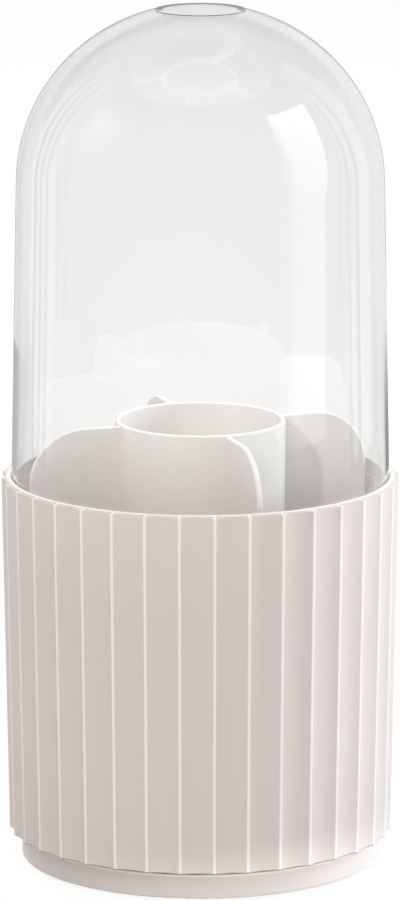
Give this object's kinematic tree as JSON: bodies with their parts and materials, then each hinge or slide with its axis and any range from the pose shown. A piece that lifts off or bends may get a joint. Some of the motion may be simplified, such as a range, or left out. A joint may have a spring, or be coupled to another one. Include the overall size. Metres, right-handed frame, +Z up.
{
  "type": "rotating makeup organizer",
  "caption": "Round make-up holder: fluted drum turning on a ball-bearing foot, lift-out divider with centre cup and fins, and a clear domed lift-off cover.",
  "frame": {"origin": "on the table under the turning axis", "axes": "+Z up along the turning axis; the fins of the divider lie along X and Y"},
  "size_m": [0.132, 0.132, 0.2862],
  "materials": {
    "drum_plastic": "satin warm off-white moulding",
    "divider_plastic": "white semi-gloss moulding",
    "clear_plastic": "clear polished moulding",
    "pad_rubber": "dull grey rubber",
    "bearing_plastic": "natural acetal",
    "ball_steel": "polished steel balls",
    "zinc_steel": "zinc-plated steel"
  },
  "bodies": {
    "foot": {"foot_shell": "drum_plastic", "pivot_screw": "zinc_steel", "pivot_washer": "zinc_steel", "foot_pad_1": "pad_rubber", "foot_pad_2": "pad_rubber", "foot_pad_3": "pad_rubber", "foot_pad_4": "pad_rubber"},
    "ball_ring": {"ball_cage": "bearing_plastic", "bearing_ball_01": "ball_steel", "bearing_ball_02": "ball_steel", "bearing_ball_03": "ball_steel", "bearing_ball_04": "ball_steel", "bearing_ball_05": "ball_steel", "bearing_ball_06": "ball_steel", "bearing_ball_07": "ball_steel", "bearing_ball_08": "ball_steel", "bearing_ball_09": "ball_steel", "bearing_ball_10": "ball_steel", "bearing_ball_11": "ball_steel", "bearing_ball_12": "ball_steel"},
    "drum": {"drum_shell": "drum_plastic", "pivot_bush": "bearing_plastic", "plate_screws": "zinc_steel", "turntable_plate": "drum_plastic"},
    "divider": {"divider_insert": "divider_plastic"},
    "dome": {"dome_cover": "clear_plastic"}
  },
  "joints": [
    {"name": "drum_turn", "type": "hinge", "parent": "foot", "child": "drum", "pos_m": [0, 0, 0], "axis": [0, 0, 1], "continuous": true},
    {"name": "ball_ring_turn", "type": "hinge", "parent": "foot", "child": "ball_ring", "pos_m": [0, 0, 0], "axis": [0, 0, 1], "continuous": true},
    {"name": "divider_lift", "type": "slide", "parent": "drum", "child": "divider", "axis": [0, 0, 1], "range_m": [0, 0.08]},
    {"name": "dome_lift", "type": "slide", "parent": "drum", "child": "dome", "axis": [0, 0, 1], "range_m": [0, 0.16]}
  ],
  "couplings": [
    {"joint": "ball_ring_turn", "follows": "drum_turn", "ratio": 0.5}
  ]
}
